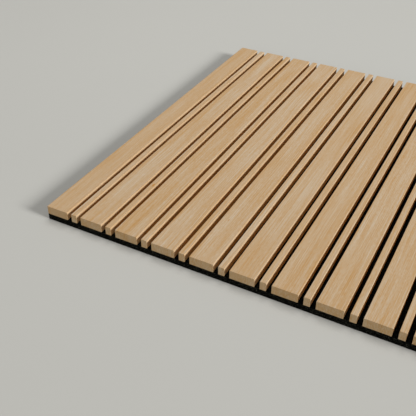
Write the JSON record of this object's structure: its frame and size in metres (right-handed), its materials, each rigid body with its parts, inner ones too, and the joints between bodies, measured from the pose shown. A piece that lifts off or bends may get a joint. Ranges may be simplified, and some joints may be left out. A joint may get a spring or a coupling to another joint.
{
  "type": "acoustic slat wall panel",
  "caption": "Square acoustic wall panel: wide and narrow light wooden slats in turn, side by side on a sheet of black felt.",
  "frame": {"origin": "centre of the felt's back face, the side that lies on the wall", "axes": "+Z out of the slats' faces, +X across the slats from the edge with a wide slat to the edge with bare felt, +Y along the slats"},
  "size_m": [0.5996, 0.6, 0.021],
  "materials": {
    "slat_wood": "sanded light wood, straight grain along the slats, clear matt",
    "felt": "needle-punched polyester felt, matt black",
    "staple_wire": "galvanised flat wire"
  },
  "bodies": {
    "root": {"felt_backing": "felt", "wide_slat_01": "slat_wood", "wide_slat_02": "slat_wood", "wide_slat_03": "slat_wood", "wide_slat_04": "slat_wood", "wide_slat_05": "slat_wood", "wide_slat_06": "slat_wood", "wide_slat_07": "slat_wood", "wide_slat_08": "slat_wood", "wide_slat_09": "slat_wood", "wide_slat_10": "slat_wood", "wide_slat_11": "slat_wood", "narrow_slat_01": "slat_wood", "narrow_slat_02": "slat_wood", "narrow_slat_03": "slat_wood", "narrow_slat_04": "slat_wood", "narrow_slat_05": "slat_wood", "narrow_slat_06": "slat_wood", "narrow_slat_07": "slat_wood", "narrow_slat_08": "slat_wood", "narrow_slat_09": "slat_wood", "narrow_slat_10": "slat_wood", "narrow_slat_11": "slat_wood", "backing_staples": "staple_wire"}
  },
  "joints": []
}
